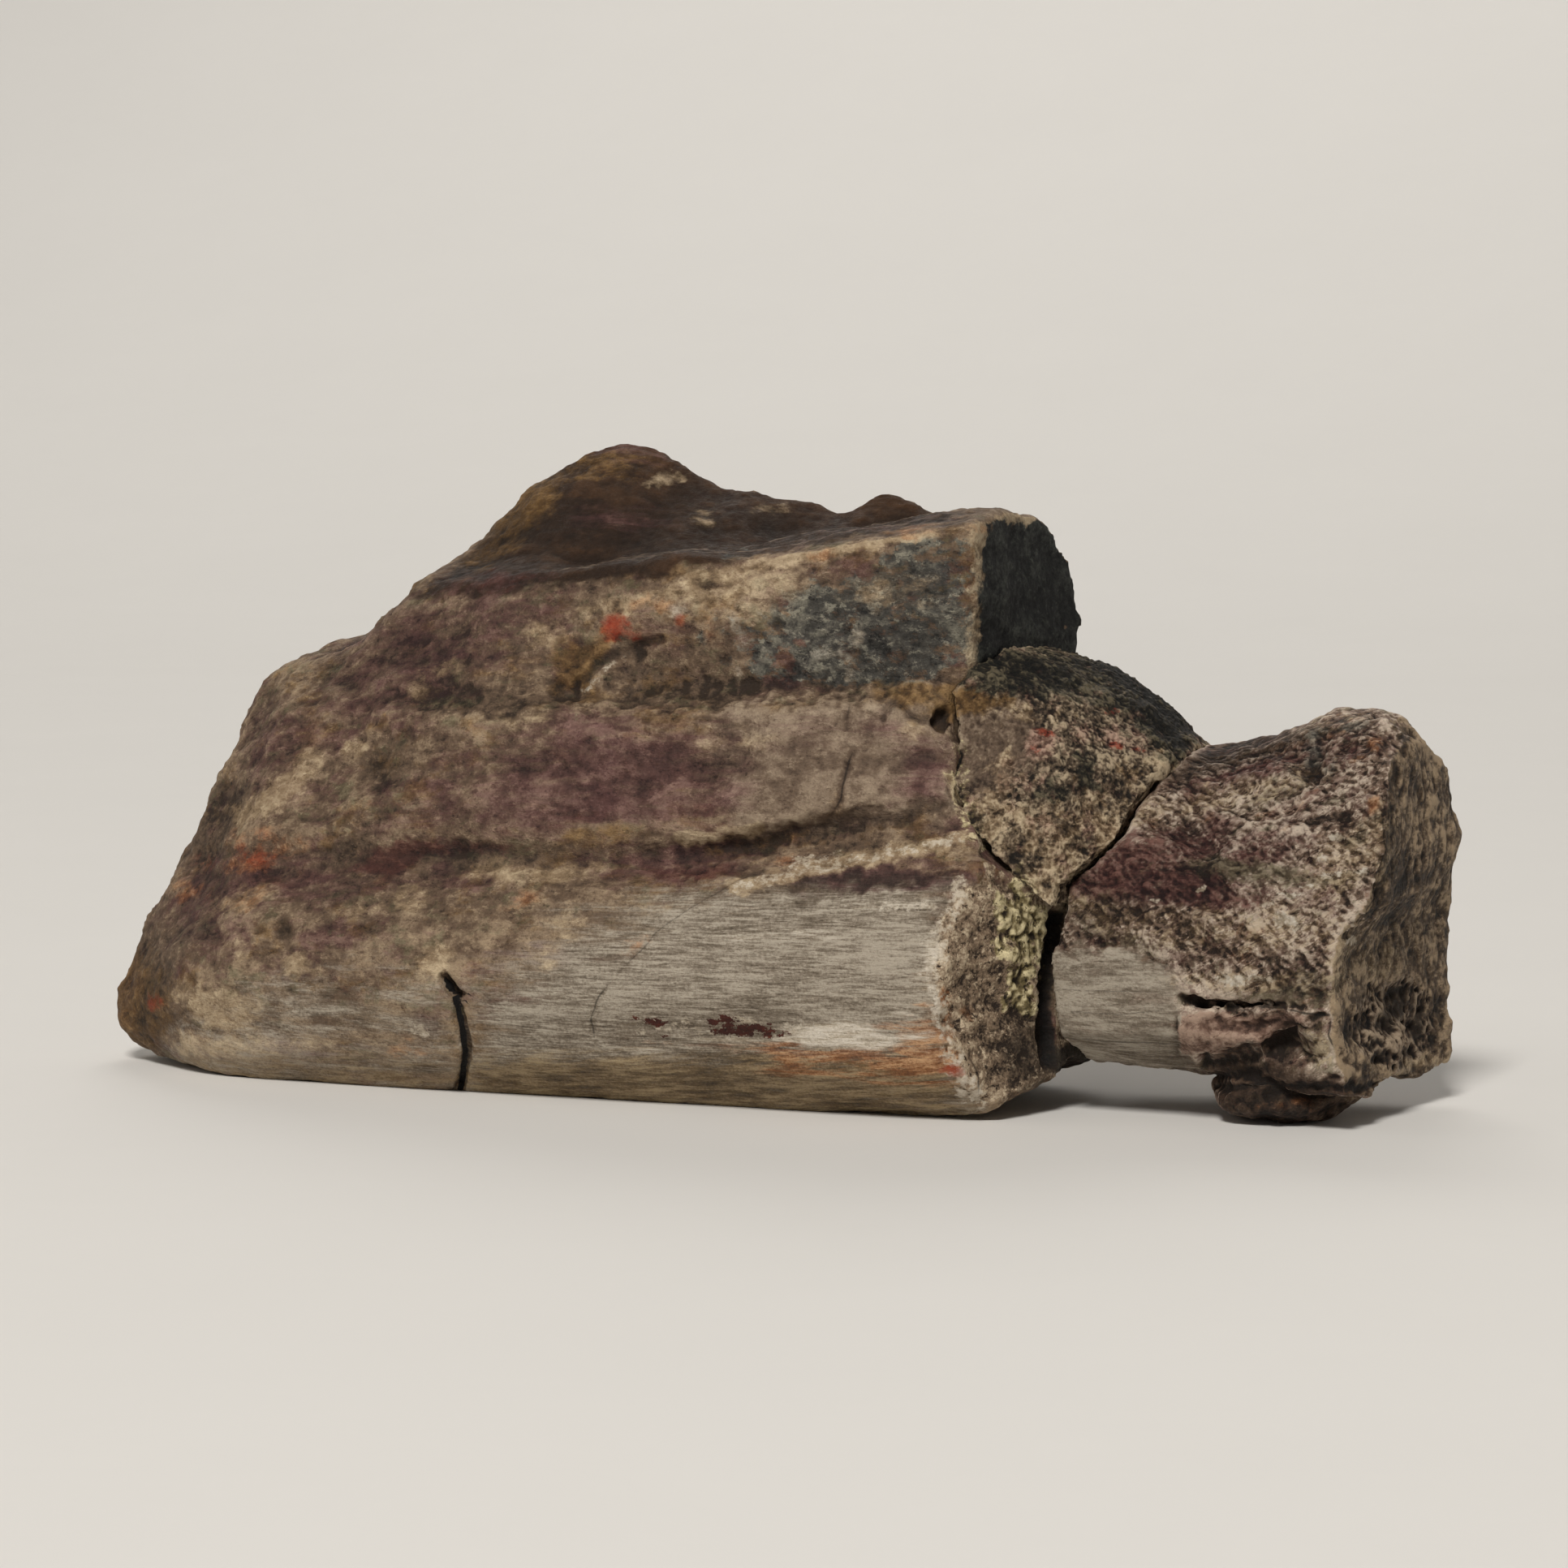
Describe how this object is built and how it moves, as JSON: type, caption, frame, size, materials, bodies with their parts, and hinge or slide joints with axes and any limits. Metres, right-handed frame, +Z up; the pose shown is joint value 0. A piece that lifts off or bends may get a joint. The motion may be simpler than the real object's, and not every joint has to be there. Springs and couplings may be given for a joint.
{
  "type": "fossil rib bone in matrix",
  "caption": "Length of fossil rib bone still in its stained rock matrix, broken across and fitted back together, lying on its base.",
  "frame": {"origin": "centre of the bounding box's base, on the surface that the fossil lies on", "axes": "+X along the rib towards the broken end block, -Y the front with the rib shaft at its foot, +Z up"},
  "size_m": [0.1646, 0.055, 0.0767],
  "materials": {
    "rib_and_matrix": "weathered fossil bone with a mauve and ochre stained matrix",
    "speckled_matrix": "rough grey and cream speckled matrix",
    "bone_end": "fibrous fossil bone with a dusty broken end"
  },
  "bodies": {
    "root": {"rib_block": "rib_and_matrix", "wedge_fragment": "speckled_matrix", "end_block": "bone_end"}
  },
  "joints": []
}
